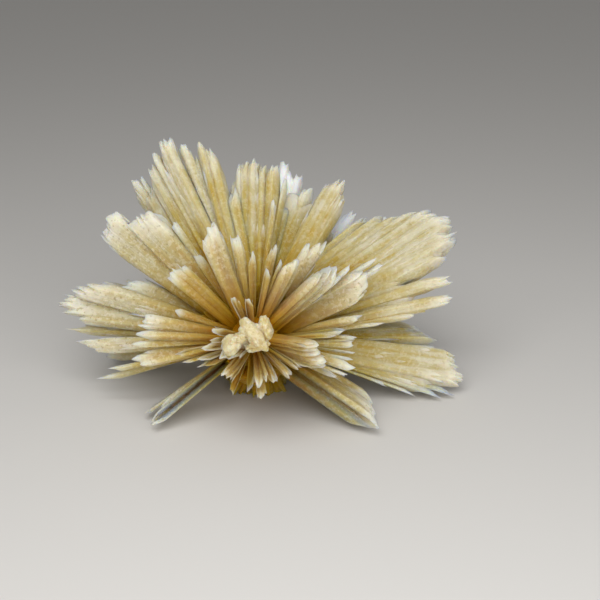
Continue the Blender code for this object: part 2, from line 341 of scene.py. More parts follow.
def crystals(name, solids):
    """Make one piece of calcite, grown together from closed solids given in mm.

    Each solid has a strip on the piece's square sheet, as high as its number of lines, and the
    strips stand on each other in three columns."""
    heights = np.array([solid["out"].shape[1] for solid in solids])
    reach = np.cumsum(heights)
    stack = np.minimum((reach - 1) * STACKS // reach[-1], STACKS - 1)
    tallest = max(heights[stack == each].sum() for each in range(STACKS))
    corners = []
    faces = []
    maps = []
    count = 0
    for number, solid in enumerate(solids):
        before = heights[:number][stack[:number] == stack[number]].sum()
        maps.append(ring_maps(
            solid, stack[number] / STACKS, before / tallest, 1 / STACKS, heights[number] / tallest))
        faces += [part + count for part in ring_faces(*solid["out"].shape)]
        corners.append(solid["points"].reshape(-1, 3))
        count += len(corners[-1])
    mesh = bpy.data.meshes.new(name)
    mesh.from_pydata((np.concatenate(corners) * MM).tolist(), [], np.concatenate(faces).tolist())
    for map_name, values in zip(("crystal", "look", "OFBake"), zip(*maps)):
        layer = mesh.uv_layers.new(name=map_name)
        layer.data.foreach_set("uv", np.concatenate(values).astype(np.float32).ravel())
    piece = bpy.data.objects.new(name, mesh)
    bpy.context.scene.collection.objects.link(piece)
    grown = piece.modifiers.new("grown together", "NODES")
    grown.node_group = one_body()
    trim = piece.modifiers.new("flat at the floor", "BOOLEAN")
    trim.object = floor_block()
    trim.solver = "MANIFOLD"
    seen = piece.evaluated_get(bpy.context.evaluated_depsgraph_get())
    whole = bpy.data.meshes.new_from_object(seen)
    if whole.validate():
        delete_lone_faces(whole)
    piece.modifiers.clear()
    piece.data = whole
    piece.data.materials.clear()
    piece.data.materials.append(calcite())
    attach(piece, "root")
    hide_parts("calcite_flower")
    return piece


DEPTH_COLOURS = (  # by the distance from the middle of the knot, as a share of COLOUR_REACH
    (0.06, (0.22, 0.080, 0.001)),
    (0.17, (0.31, 0.150, 0.002)),
    (0.30, (0.39, 0.237, 0.013)),
    (0.46, (0.44, 0.317, 0.060)),
    (0.66, (0.47, 0.388, 0.160)),
    (0.84, (0.51, 0.450, 0.265)),
    (1.00, (0.58, 0.540, 0.395)),
)
COLOUR_REACH = 30.0  # mm
FROSTED_FACE = (0.60, 0.57, 0.44)
PALE_END = (0.76, 0.74, 0.665)
SUGAR = (0.74, 0.71, 0.58)
SPECK = (0.27, 0.20, 0.07)
WHITE_BLADE = (0.92, 0.91, 0.86)


def calcite():
    """Honey calcite: amber in the depth of the flower, cream along the blades, frosted at the tips."""
    name = "honey calcite"
    if name in bpy.data.materials:
        return bpy.data.materials[name]
    material = bpy.data.materials.new(name)
    material.use_nodes = True
    nodes = material.node_tree.nodes
    links = material.node_tree.links

    def math(operation, first, second, third=0.0, clamp=False):
        """One sum on numbers, such as first * second + third for MULTIPLY_ADD."""
        node = nodes.new("ShaderNodeMath")
        node.operation = operation
        node.use_clamp = clamp
        for socket, value in zip(node.inputs, (first, second, third)):
            if isinstance(value, float):
                socket.default_value = value
            else:
                links.new(value, socket)
        return node.outputs[0]

    def vector(operation, first, second):
        """One sum on places: a difference, or the number that a product or a distance gives."""
        node = nodes.new("ShaderNodeVectorMath")
        node.operation = operation
        links.new(first, node.inputs[0])
        if isinstance(second, list):
            node.inputs[1].default_value = second
        else:
            links.new(second, node.inputs[1])
        return node.outputs["Value" if operation in ("DOT_PRODUCT", "DISTANCE") else "Vector"]

    def spread(value, low, high, to_low=0.0, to_high=1.0):
        """A value between low and high, spread smoothly from to_low to to_high."""
        node = nodes.new("ShaderNodeMapRange")
        node.interpolation_type = "SMOOTHSTEP"
        links.new(value, node.inputs["Value"])
        node.inputs["From Min"].default_value = low
        node.inputs["From Max"].default_value = high
        node.inputs["To Min"].default_value = to_low
        node.inputs["To Max"].default_value = to_high
        return node.outputs["Result"]

    def noise(at, scale, detail, rough=0.5):
        """Cloudy noise from 0 to 1 at a place, with scale waves to the unit of that place."""
        node = nodes.new("ShaderNodeTexNoise")
        node.inputs["Scale"].default_value = scale
        node.inputs["Detail"].default_value = detail
        node.inputs["Roughness"].default_value = rough
        links.new(at, node.inputs["Vector"])
        return node.outputs["Fac"]

    def mix(share, first, second):
        """The first colour with a share of the second mixed in."""
        node = nodes.new("ShaderNodeMix")
        node.data_type = "RGBA"
        for socket, value in ((node.inputs[0], share), (node.inputs[6], first), (node.inputs[7], second)):
            if isinstance(value, float):
                socket.default_value = value
            elif isinstance(value, tuple):
                socket.default_value = (*value, 1)
            else:
                links.new(value, socket)
        return node.outputs[2]

    crystal = nodes.new("ShaderNodeUVMap")
    crystal.uv_map = "crystal"
    crystal_parts = nodes.new("ShaderNodeSeparateXYZ")
    links.new(crystal.outputs["UV"], crystal_parts.inputs[0])
    out = crystal_parts.outputs["X"]
    to_end = crystal_parts.outputs["Y"]
    look = nodes.new("ShaderNodeUVMap")
    look.uv_map = "look"
    look_parts = nodes.new("ShaderNodeSeparateXYZ")
    links.new(look.outputs["UV"], look_parts.inputs[0])
    frost = look_parts.outputs["X"]
    across = look_parts.outputs["Y"]
    place = nodes.new("ShaderNodeTexCoord").outputs["Object"]

    # Depth: the distance from the line through the knot to its bulge, over COLOUR_REACH, made
    # uneven by clouds, by streaks along the blade and by the small flat flakes of its surface.
    from_heart = vector("SUBTRACT", place, (HEART * MM).tolist())
    forward = vector("DOT_PRODUCT", from_heart, TO_VIEWER.tolist())
    forward = math("MINIMUM", math("MAXIMUM", forward, 0.0), CORE_FORWARD * MM)
    on_line = nodes.new("ShaderNodeVectorMath")
    on_line.operation = "SCALE"
    on_line.inputs[0].default_value = TO_VIEWER.tolist()
    links.new(forward, on_line.inputs["Scale"])
    from_line = vector("DISTANCE", from_heart, on_line.outputs["Vector"])
    deep = math("DIVIDE", from_line, COLOUR_REACH * MM)
    cloud = noise(place, 240.0, 3.0)
    streak_at = nodes.new("ShaderNodeCombineXYZ")
    links.new(math("MULTIPLY", out, 1.2), streak_at.inputs["X"])
    links.new(math("MULTIPLY", across, 0.8), streak_at.inputs["Y"])
    streak = noise(streak_at.outputs[0], 1.0, 2.0, 0.5)
    flake_at = nodes.new("ShaderNodeCombineXYZ")
    links.new(math("MULTIPLY", to_end, 0.7), flake_at.inputs["X"])
    links.new(math("MULTIPLY", across, 2.2), flake_at.inputs["Y"])
    flake = nodes.new("ShaderNodeTexVoronoi")
    flake.inputs["Scale"].default_value = 1.0
    links.new(flake_at.outputs[0], flake.inputs["Vector"])
    flake_tone = nodes.new("ShaderNodeSeparateXYZ")
    links.new(flake.outputs["Color"], flake_tone.inputs[0])
    flake_tone = flake_tone.outputs["X"]
    uneven = math("MULTIPLY_ADD", cloud, 1.1, -0.65)
    uneven = math("MULTIPLY_ADD", streak, 1.6, math("SUBTRACT", uneven, 0.80))
    uneven = math("MULTIPLY_ADD", flake_tone, 0.2, uneven)
    outward = math("MULTIPLY_ADD", deep, uneven, deep)
    ramp = nodes.new("ShaderNodeValToRGB")
    for element, (position, colour) in zip(ramp.color_ramp.elements, (DEPTH_COLOURS[0], DEPTH_COLOURS[-1])):
        element.position = position
        element.color = (*colour, 1)
    for position, colour in DEPTH_COLOURS[1:-1]:
        ramp.color_ramp.elements.new(position).color = (*colour, 1)
    links.new(outward, ramp.inputs["Fac"])

    # Frost: paler, sugary faces with dark specks, most on the blades that stand forward. Ends are
    # pale over about 4 mm, and two blades behind are white all over.
    grain = noise(place, 1500.0, 3.0, 0.65)
    pale_reach = math("MULTIPLY", to_end, math("MULTIPLY_ADD", frost, -0.45, 1.0))
    ending = spread(math("MULTIPLY_ADD", cloud, -3.0, pale_reach), 2.6, -1.4)
    frosted = math("MULTIPLY", frost, spread(out, 0.25, 0.85), clamp=True)
    sugar = math("MULTIPLY", spread(grain, 0.50, 0.60), math("MULTIPLY_ADD", frosted, 0.3, 0.16))
    sugar = math("MULTIPLY", sugar, spread(deep, 0.15, 0.50))
    colour = mix(math("MULTIPLY", frosted, 0.45), ramp.outputs["Color"], FROSTED_FACE)
    colour = mix(math("MULTIPLY", ending, 0.78), colour, PALE_END)
    colour = mix(sugar, colour, SUGAR)
    speck = noise(place, 1900.0, 2.0)
    dark = math("MULTIPLY", spread(speck, 0.57, 0.71), math("MULTIPLY_ADD", frosted, 0.52, 0.06))
    colour = mix(dark, colour, SPECK)
    colour = mix(spread(frost, 0.91, 0.94), colour, WHITE_BLADE)
    shader = nodes["Principled BSDF"]
    links.new(colour, shader.inputs["Base Color"])

    # Relief: fine lines along the blades, steps between flakes, and grain, most where frosted.
    lines_at = nodes.new("ShaderNodeCombineXYZ")
    links.new(math("MULTIPLY", out, 2.5), lines_at.inputs["X"])
    links.new(math("MULTIPLY", across, 3.2), lines_at.inputs["Y"])
    lines = noise(lines_at.outputs[0], 1.0, 3.0, 0.6)
    height = math("MULTIPLY_ADD", grain, math("MULTIPLY_ADD", frosted, 0.7, 0.5), lines)
    height = math("MULTIPLY_ADD", flake_tone, 0.7, height)
    bump = nodes.new("ShaderNodeBump")
    bump.inputs["Strength"].default_value = 0.6
    bump.inputs["Distance"].default_value = 0.22 * MM
    links.new(height, bump.inputs["Height"])
    links.new(bump.outputs["Normal"], shader.inputs["Normal"])
    links.new(spread(frosted, 0.0, 1.0, 0.38, 0.62), shader.inputs["Roughness"])
    shader.inputs["IOR"].default_value = 1.5
    shader.inputs["Specular IOR Level"].default_value = 0.06
    shader.inputs["Subsurface Weight"].default_value = 1.0
    shader.inputs["Subsurface Radius"].default_value = (1.0, 0.72, 0.36)
    shader.inputs["Subsurface Scale"].default_value = 3.0 * MM
    return material


def even_directions(count, lowest, highest):
    """Directions spread evenly over a ball between two heights, by the golden angle."""
    height = lowest + (highest - lowest) * (np.arange(count) + 0.5) / count
    turn = np.arange(count) * GOLDEN_ANGLE
    level = np.sqrt(1 - height ** 2)
    return np.stack([level * np.cos(turn), level * np.sin(turn), height], -1)


SHORT_TEETH = 3
NO_PALE_END = 6.0  # mm added to the distance from the end


def short_row(tip, width, rng):
    """Tips of a short blade: a row through one place, at right angles to its way from the heart."""
    way = unit(tip - HEART)
    side = unit(np.cross(way, rng.normal(size=3)))
    return tip + side * np.linspace(-width / 2, width / 2, SHORT_TEETH)[:, None]


def short_blade(tip, width, thickness, rng):
    """A short amber blade in the heart, without the pale end of the long ones."""
    row = toothed(short_row(tip, width, rng), rng)
    return blade(row, thickness, rng, 0.0, depth=NO_PALE_END)


rng = np.random.default_rng(7)
heart = [
    lobe(HEART, np.eye(3), HEART_RADII, KNOT_OUT, KNOT_TO_END, 0.0, rng, 0.05),
    lobe(CORE, np.eye(3), CORE_RADII, KNOT_OUT, KNOT_TO_END, 0.0, rng, 0.08),
]
for way in even_directions(HEART_BLADES, HEART_LOWEST, 1.0):
    tip = HEART + way * rng.uniform(*HEART_REACH)
    heart.append(short_blade(tip, rng.uniform(*HEART_WIDTH), rng.uniform(*HEART_THICKNESS), rng))
foot_reach = np.sqrt((np.arange(FOOT_BLADES) + 0.5) / FOOT_BLADES) * FOOT_RADIUS
foot_turn = np.arange(FOOT_BLADES) * GOLDEN_ANGLE
for reach, turn in zip(foot_reach, foot_turn):
    tip = np.array([reach * np.cos(turn), reach * np.sin(turn), rng.uniform(*FOOT_TIPS)])
    heart.append(short_blade(tip, rng.uniform(*FOOT_WIDTH), FOOT_THICKNESS, rng))
crystals("heart", heart)

# The blades of the upper left.
# A broad toothed sheet, a thin glassy one let into its edge and a smooth blade beside them, all
# flat slabs of calcite that grew outwards together.
VIEW_DISTANCE = 200.0  # mm from the eye to the heart
VIEW_AXIS = np.array([6.75, 5.7])  # mm across and up from the heart to the middle of the view
PLATE_GAP = 2.0  # mm of a blade's width for each smaller plate grown on its face
PLATE_WIDTH = (1.2, 4.0)  # mm
PLATE_REACH = (0.6, 0.98)  # of the length of the blade it grows on
PLATE_LIFT = (0.32, 0.42)  # of that blade's thickness, from its middle to the plate's
PLATE_THICKNESS = (0.2, 0.36)  # of that blade's thickness
PLATE_DEPTH = 0.2  # mm; plates are less pale at their ends than the blade they grow on
FORWARD_START = 0.55  # how far forward a blade starts, as a share of how far forward its end is
CLEAR_OF_FLOOR = 0.6  # mm; tips that would be lower are brought forward along the line of sight


def as_seen(across, up, toward):
    """Places in mm of tips stated as they look from the front, 22 degrees above level.

    Across and up are scaled by the eye's distance to the tip over its distance to the heart, then
    turned by the rise: y = up * sin - toward * cos and z = up * cos + toward * sin."""
    nearer = 1 - toward / VIEW_DISTANCE
    across = VIEW_AXIS[0] + (across - VIEW_AXIS[0]) * nearer
    up = VIEW_AXIS[1] + (up - VIEW_AXIS[1]) * nearer
    return HEART + np.stack([
        across,
        up * np.sin(VIEW_RISE) - toward * np.cos(VIEW_RISE),
        up * np.cos(VIEW_RISE) + toward * np.sin(VIEW_RISE)], -1)


def plates_on(main, thickness, rng, frost, facing, plates):
    """Smaller and shorter plates half sunk in both faces of a blade.

    Each has its tips at a share of the blade's own length at three places across it."""
    level = main["level"]
    low, high = level.min(), level.max()
    solids = []
    for face in (1, -1):
        count = int(round(plates * (high - low) / PLATE_GAP + rng.uniform(0, 0.8)))
        for number in range(count):
            wide = min(rng.uniform(*PLATE_WIDTH), 0.8 * (high - low))
            centre = low + wide / 2 + (high - low - wide) * (number + rng.random()) / count
            share = rng.uniform(*PLATE_REACH)
            tips = []
            for at in np.linspace(centre - wide / 2, centre + wide / 2, 3):
                near = np.where(np.abs(level - at) < 0.45, main["length"], 0)
                line = np.argmax(near)
                root = main["roots"][line]
                tip = root + (main["ends"][line] - root) * (share + rng.normal(0, 0.02))
                tips.append(tip + main["side"] * (at - level[line]) * 0.8)
            lift = face * thickness * rng.uniform(*PLATE_LIFT) * main["flat"]
            if np.linalg.norm(tips[2] - tips[0]) > 0.5:
                row = toothed(np.array(tips) + lift, rng)
                thin = thickness * rng.uniform(*PLATE_THICKNESS)
                solids.append(blade(row, thin, rng, frost, main["start"], facing, PLATE_DEPTH))
    return solids


def plated_blade(outline, thickness, rng, frost, start=HEART, facing=None, plates=1.0):
    """A blade with smaller and shorter plates half sunk in both of its faces."""
    main = blade(outline, thickness, rng, frost, start, facing)
    return [main] + plates_on(main, thickness, rng, frost, facing, plates)


def front_fan(thickness, first, last, seen, frost, seed, plates=1.0):
    """A plated blade in front, from its outline as seen, places across and up in mm.

    The outline stands forward of the heart by first mm at its first place to last mm at its last
    one, or more where it would be too low. The blade starts part of the way forward as well."""
    across, up = np.array(seen, float).T
    lowest = (CLEAR_OF_FLOOR - HEART[2] - up * np.cos(VIEW_RISE)) / np.sin(VIEW_RISE)
    toward = np.maximum(np.linspace(first, last, len(seen)), lowest)
    outline = as_seen(across, up, toward)
    start = HEART + TO_VIEWER * np.clip(FORWARD_START * toward.mean(), 0, CORE_FORWARD)
    rng = np.random.default_rng(seed)
    return plated_blade(outline, thickness, rng, frost, start, TO_VIEWER, plates)


crystals("upper_left_blades", [
    *front_fan(2.2, -8.6, -7.8, [
        (-16.6, 20.5), (-14.8, 24.3), (-12.4, 26.2), (-9.8, 26.4), (-8.0, 25.0), (-5.5, 23.4),
        (-4.4, 21.4)], 0.1, 105, 0.6),
    *front_fan(1.8, -11, -10, [
        (-17.7, 20.8), (-18.3, 22.6), (-18.6, 23.7), (-18.1, 24.1), (-17.5, 23.8), (-17.1, 23.3),
        (-17.3, 24.4), (-16.8, 24.2), (-15.7, 22.5), (-15.1, 21.7)], 0.4, 101),
    *front_fan(2.6, -8, -7, [
        (-15.3, 22.0), (-15.7, 24.6), (-16.1, 25.8), (-15.6, 26.3), (-15.0, 26.0), (-14.6, 25.9),
        (-15.1, 27.0), (-15.4, 27.8), (-15.1, 27.9), (-14.3, 27.4), (-13.8, 26.8), (-14.2, 28.6),
        (-14.4, 29.6), (-14.2, 29.8), (-13.8, 29.6), (-13.7, 30.2), (-13.4, 30.3), (-12.9, 30.3),
        (-12.4, 29.9), (-12.0, 29.0), (-11.5, 28.2), (-11.1, 27.5)], 0.15, 102),
    *front_fan(1.5, -7.4, -7.2, [
        (-11.3, 27.7), (-11.3, 29.1), (-10.9, 29.6), (-10.4, 29.2), (-10.1, 28.4), (-9.7, 28.1),
        (-9.4, 27.4), (-9.1, 27.7), (-8.6, 27.0), (-8.2, 26.3)], 0.6, 103, 0),
    *front_fan(2.2, -7, -6, [
        (-8.1, 25.5), (-8.6, 27.7), (-8.7, 29.4), (-8.5, 29.7), (-8.0, 29.3), (-7.5, 28.5),
        (-7.3, 29.0), (-7.0, 29.0), (-6.5, 28.2), (-5.6, 27.0), (-5.1, 25.8), (-4.5, 24.3),
        (-4.0, 22.4)], 0.15, 104),
])

# The blades at the top.
# One nearly straight-sided sheet of calcite with a crown of teeth, grown up from the heart, with
# narrow blades before it and two white ones behind.
crystals("top_blades", [
    *front_fan(2.0, -9.0, -8.2, [
        (2.6, 22.5), (5.5, 21.8), (8.5, 20.5), (11.0, 19.3), (12.0, 14.6), (13.6, 12.5),
        (16.0, 12.0)], 0.1, 138, 0.6),
    *front_fan(2.4, -8, -6, [
        (-3.7, 22.2), (-3.5, 23.2), (-3.0, 23.8), (-2.7, 23.7), (-2.6, 25.6), (-2.3, 26.5),
        (-2.0, 26.4), (-1.8, 26.0), (-1.7, 26.6), (-1.2, 26.9), (-0.9, 26.5), (-0.8, 26.1),
        (-0.5, 26.6), (-0.2, 27.1), (0.2, 26.6), (0.4, 26.1), (0.6, 26.2), (0.8, 25.1), (0.9, 24.3),
        (1.0, 26.1), (1.4, 26.5), (1.7, 26.1), (1.8, 25.3), (2.0, 24.5), (2.2, 25.6), (2.6, 26.1),
        (2.9, 25.9), (3.2, 26.4), (3.4, 26.1), (3.7, 25.1), (3.8, 23.7)], 0.1, 131),
    *front_fan(1.4, -6, -6, [
        (3.8, 21.7), (4.3, 23.7), (4.5, 24.1), (4.8, 23.9), (4.9, 22.4)], 0.2, 132, 0),
    *front_fan(1.2, -2, -2, [
        (2.3, 19.8), (2.5, 20.6), (2.9, 21.0), (3.2, 20.3), (3.2, 19.3)], 0.3, 133, 0),
    *front_fan(2.4, -17, -16, [
        (3.7, 24.9), (3.8, 26.4), (4.4, 26.5), (5.0, 26.3), (5.1, 25.1), (5.6, 24.9), (6.1, 24.5),
        (6.6, 25.0), (7.1, 24.7), (7.2, 23.2)], 0.95, 134),
    *front_fan(1.8, -10, -9, [(7.1, 21.4), (7.4, 22.5), (8.0, 23.1), (8.7, 22.6), (8.8, 21.3)], 0.4, 135),
    *front_fan(3.0, -6, -5, [
        (9.3, 21.2), (10.3, 22.3), (10.9, 23.3), (11.7, 23.5), (12.5, 24.0), (13.1, 24.1),
        (13.6, 23.6), (13.5, 22.5), (13.2, 21.8), (13.5, 20.7), (13.2, 19.4), (12.9, 18.5)], 0.2, 136),
    *front_fan(1.8, -17, -17, [
        (13.0, 17.8), (13.4, 18.5), (14.2, 18.9), (14.7, 19.2), (15.2, 18.9), (15.1, 18.4),
        (14.7, 17.2), (14.1, 16.1)], 0.95, 137, 0),
])

# The blades on the right.
# The widest fan of the flower, a thick slab of calcite with a blocky end, and two blunt fingers
# that grew beside it.
crystals("right_blades", [
    *front_fan(3.2, -7, 0, [
        (14.2, 15.7), (15.0, 16.8), (15.9, 17.7), (16.6, 18.2), (17.1, 17.8), (16.7, 17.0),
        (16.3, 16.2), (17.9, 17.4), (18.7, 17.9), (19.4, 18.3), (20.1, 17.9), (20.1, 17.2),
        (20.8, 17.7), (21.9, 18.1), (22.7, 18.0), (23.7, 18.6), (24.7, 18.8), (25.2, 18.6),
        (26.1, 18.9), (26.7, 19.2), (27.2, 18.8), (27.4, 18.0), (27.8, 18.0), (28.5, 18.2),
        (29.4, 18.1), (29.5, 17.4), (29.2, 17.1), (29.7, 16.7), (29.2, 16.3), (28.9, 15.8),
        (29.5, 15.7), (29.6, 15.2), (29.9, 15.0), (30.5, 14.7), (29.9, 14.1), (28.1, 12.7),
        (28.0, 12.1), (28.9, 12.1), (28.1, 11.5), (27.2, 10.8), (26.1, 10.1), (25.2, 9.2),
        (23.7, 8.6)], 0.25, 161, 1.2),
    *front_fan(1.2, -8, -8, [
        (15.5, 16.0), (16.1, 17.6), (16.7, 18.2), (17.2, 17.7), (17.1, 16.8)], 0.5, 165, 0),
    *front_fan(1.2, -8, -8, [
        (18.5, 17.0), (19.1, 18.1), (19.7, 18.3), (20.2, 17.8), (20.2, 17.0)], 0.6, 166, 0),
    *front_fan(2.2, 0, 1, [
        (22.0, 9.6), (22.9, 8.2), (24.0, 7.5), (24.7, 6.4), (24.0, 5.4), (23.4, 4.4)], 0.2, 167, 0),
    *front_fan(2.0, 1, 1, [
        (25.4, 8.9), (27.2, 9.2), (28.5, 9.3), (29.5, 9.4), (29.9, 9.0), (30.0, 8.6), (29.2, 8.0),
        (27.4, 7.5), (25.6, 6.7)], 0.3, 162, 0),
    *front_fan(2.0, 2, 2, [
        (26.1, 6.2), (27.9, 6.4), (29.5, 6.5), (30.0, 6.0), (29.8, 5.6), (29.0, 5.1), (27.8, 4.7),
        (26.1, 4.3), (25.7, 3.9)], 0.4, 163, 0),
    *front_fan(1.2, 2, 3, [(24.8, 4.1), (24.3, 3.4), (23.2, 3.2)], 0.3, 164, 0),
])

# The blades at the lower right.
# A thinner, finely split fan of calcite that lies close to the ground, and a stout one that
# touches it. Both grew out of the heart, as the others did.
crystals("lower_right_blades", [
    *front_fan(1.8, -6, -5, [
        (21.1, 1.4), (22.1, 1.1), (24.1, 1.1), (23.9, 0.7), (25.5, 0.3), (25.5, -0.0), (27.5, -0.4),
        (26.1, -0.8), (24.5, -1.1)], 0.1, 191),
    *front_fan(2.6, -5, -3, [
        (24.8, -1.4), (27.5, -2.0), (29.4, -2.3), (30.1, -2.9), (30.2, -3.5), (31.1, -4.7),
        (31.3, -5.7), (31.0, -6.0), (31.3, -6.5), (30.7, -6.9), (30.6, -7.3), (28.8, -7.3),
        (26.9, -7.2)], 0.3, 192, 1.2),
    *front_fan(2.0, -3, -1, [
        (27.3, -6.9), (26.9, -7.7), (25.2, -8.0), (22.9, -7.5), (20.8, -6.7)], 0.05, 193),
    *front_fan(0.8, -3, -3, [(28.2, -7.4), (30.1, -8.8), (28.2, -8.0)], 0.3, 194, 0),
    *front_fan(0.8, -2, -2, [(26.3, -7.5), (28.0, -9.1), (26.1, -8.2)], 0.3, 195, 0),
    *front_fan(0.8, -1, -1, [(22.7, -7.7), (24.2, -8.8), (22.4, -8.1)], 0.3, 196, 0),
    *front_fan(0.8, 0, 0, [(19.2, -6.6), (20.1, -7.5), (19.0, -7.0)], 0.3, 197, 0),
    *front_fan(2.2, 0, 5, [
        (16.3, -8.4), (17.9, -10.2), (16.9, -10.3), (18.1, -11.2), (18.2, -12.0), (17.7, -12.2),
        (18.7, -13.7), (17.2, -13.3), (15.8, -12.9)], 0.6, 198),
])

# The small blades around the knob.
# Short stubby blades of calcite with white ragged ends. They grew on the bulge of the heart and
# point at the viewer.
crystals("front_blades", [
    *front_fan(1.3, 17, 17, [
        (-5.0, 1.5), (-6.4, 1.3), (-6.4, 1.1), (-6.3, 0.8), (-5.4, 0.4)], 0.6, 221, 0),
    *front_fan(1.1, 17, 17, [(-5.8, 0.1), (-7.0, -0.4), (-6.8, -0.7), (-5.6, -0.7)], 0.6, 222, 0),
    *front_fan(1.3, 17, 17, [
        (-6.4, -0.7), (-7.7, -1.3), (-8.1, -1.6), (-7.6, -1.9), (-6.7, -1.9)], 0.6, 223, 0),
    *front_fan(1.0, 15, 15, [(-6.8, -2.7), (-8.9, -3.2), (-8.0, -3.4), (-6.8, -3.3)], 0.6, 224, 0),
    *front_fan(1.0, 14, 14, [(-7.5, -3.8), (-8.8, -4.4), (-7.9, -4.5), (-6.5, -4.3)], 0.6, 225, 0),
    *front_fan(1.5, 17, 16, [
        (-4.6, -4.8), (-5.1, -5.7), (-4.6, -5.6), (-4.4, -6.2), (-3.8, -5.9), (-3.6, -6.8),
        (-3.1, -5.9)], 0.4, 226, 0),
    *front_fan(1.2, 9, 9, [(-3.7, -7.1), (-3.9, -8.1), (-3.4, -8.8), (-3.0, -7.9)], 0.1, 227, 0),
    *front_fan(1.0, 13, 13, [(-0.6, -6.8), (-1.2, -8.2), (-0.4, -7.3)], 0.1, 228, 0),
    *front_fan(1.6, 17, 17, [
        (-0.0, -6.3), (0.3, -7.2), (0.6, -7.7), (0.9, -7.1), (1.4, -6.6)], 0.4, 229, 0),
    *front_fan(1.2, 17, 17, [(1.4, -6.2), (1.7, -6.7), (2.1, -5.8)], 0.4, 230, 0),
    *front_fan(1.6, 13, 13, [(0.3, -8.7), (0.5, -9.4), (1.4, -9.3), (1.8, -8.4)], 0.4, 231, 0),
    *front_fan(1.2, 16, 16, [
        (2.6, -5.8), (2.9, -6.8), (3.2, -6.8), (3.4, -6.6), (3.4, -6.1)], 0.4, 232, 0),
    *front_fan(1.4, 16, 16, [
        (4.4, -5.2), (4.7, -5.9), (4.9, -5.7), (5.3, -6.1), (5.6, -5.7), (5.5, -5.1)], 0.4, 233, 0),
    *front_fan(1.1, 16, 16, [
        (5.7, -4.3), (6.3, -4.5), (6.8, -4.9), (7.1, -4.5), (6.5, -4.1)], 0.4, 234, 0),
    *front_fan(2.2, 17, 15, [
        (8.3, -0.8), (9.0, -0.9), (9.8, -1.3), (9.4, -1.6), (10.1, -2.1), (9.7, -2.5), (10.3, -3.1),
        (10.7, -3.7), (10.4, -3.9), (10.8, -4.2), (10.1, -4.5), (8.9, -4.4)], 0.5, 235, 0.8),
    *front_fan(0.9, 13, 13, [(11.1, -5.2), (12.2, -6.0), (12.4, -5.8), (11.5, -5.2)], 0.6, 236, 0),
    *front_fan(1.4, 7, 8, [(14.5, 3.1), (15.6, 3.4), (16.3, 3.4), (15.9, 2.8), (15.2, 2.5)], 0.6, 237, 0),
    *front_fan(1.2, 6, 6, [(17.6, 2.3), (18.3, 2.3), (19.5, 2.3), (18.3, 1.8)], 0.6, 238, 0),
    *front_fan(1.4, 11, 11, [
        (12.5, 1.5), (13.6, 1.4), (13.8, 1.2), (13.0, 0.8), (12.5, 0.4)], 0.6, 239, 0),
    *front_fan(0.8, 10, 10, [(13.6, 0.4), (14.7, 0.3), (15.4, 0.1), (14.5, -0.2)], 0.6, 240, 0),
    *front_fan(1.5, 12, 12, [
        (13.4, -0.3), (14.5, -0.6), (14.9, -0.4), (15.3, -1.1), (14.5, -1.4), (13.9, -1.5)], 0.4, 241, 0),
    *front_fan(0.8, 12, 12, [(13.6, -1.9), (15.1, -2.2), (14.8, -2.4), (13.7, -2.2)], 0.6, 242, 0),
    *front_fan(1.5, 12, 12, [
        (13.6, -3.4), (14.4, -4.0), (15.2, -4.5), (14.2, -4.9), (13.8, -4.9)], 0.6, 243, 0),
    *front_fan(0.9, 12, 12, [(13.3, -5.3), (14.1, -5.6), (13.6, -5.8)], 0.6, 244, 0),
    *front_fan(0.8, 12, 12, [(14.0, -2.9), (14.9, -3.3), (14.0, -3.4)], 0.6, 245, 0),
])

# The knob.
# A cluster of rounded, cloudy lumps of calcite on the end of a stalk that grew out of the heart,
# with teeth at its lower left.
KNOB_STALK = 2.6
KNOB_OUT = 0.85  # the knob is coloured as the outer part of a blade,
KNOB_TO_END = 4.4  # this many mm from a pale end
SMALL_TO_END = 3.6  # and its small lumps a little nearer to one
KNOB_FROST = 0.7
KNOB_BUMPS = 0.08
KNOB_LUMPS = [  # mm across, up and toward the viewer, three half sizes, and degrees of lean
    (-0.1, 0.5, 20.0, 2.4, 1.30, 1.4, -50), (1.6, 1.5, 19.7, 1.65, 0.95, 1.2, 105),
    (-3.6, -1.1, 19.9, 1.50, 1.25, 1.3, 60), (-2.2, 0.0, 20.0, 1.3, 0.85, 1.1, 20),
    (0.4, -1.0, 19.6, 1.7, 0.90, 1.3, 15),
]
SMALL_LUMPS = 7  # on the face of each lump
SMALL_LUMP_SHARE = (0.24, 0.42)  # of the lump's own size
SMALL_LUMP_PLACE = 0.84  # of the way from the middle of the lump to its face


def knob_lumps(across, up, toward, long, wide, deep, lean, rng):
    """One lump of the knob, its long side leaning from level, with small lumps sunk in its face."""
    rightward = np.array([1.0, 0, 0])
    upward = np.array([0, np.sin(VIEW_RISE), np.cos(VIEW_RISE)])
    lean = np.radians(lean)
    first = rightward * np.cos(lean) + upward * np.sin(lean)
    second = upward * np.cos(lean) - rightward * np.sin(lean)
    directions = np.stack([first, second, np.cross(first, second)])
    centre = as_seen(np.array(across), np.array(up), toward)
    radii = np.array([long, wide, deep])
    lumps = [lobe(centre, directions, radii, KNOB_OUT, KNOB_TO_END, KNOB_FROST, rng, KNOB_BUMPS)]
    for way in unit(rng.normal(size=(SMALL_LUMPS, 3)) + (0, 0, 0.8)):
        small = radii * rng.uniform(*SMALL_LUMP_SHARE)
        place = centre + (way * radii * SMALL_LUMP_PLACE) @ directions
        lumps.append(lobe(place, directions, small, KNOB_OUT, SMALL_TO_END, KNOB_FROST, rng, KNOB_BUMPS))
    return lumps


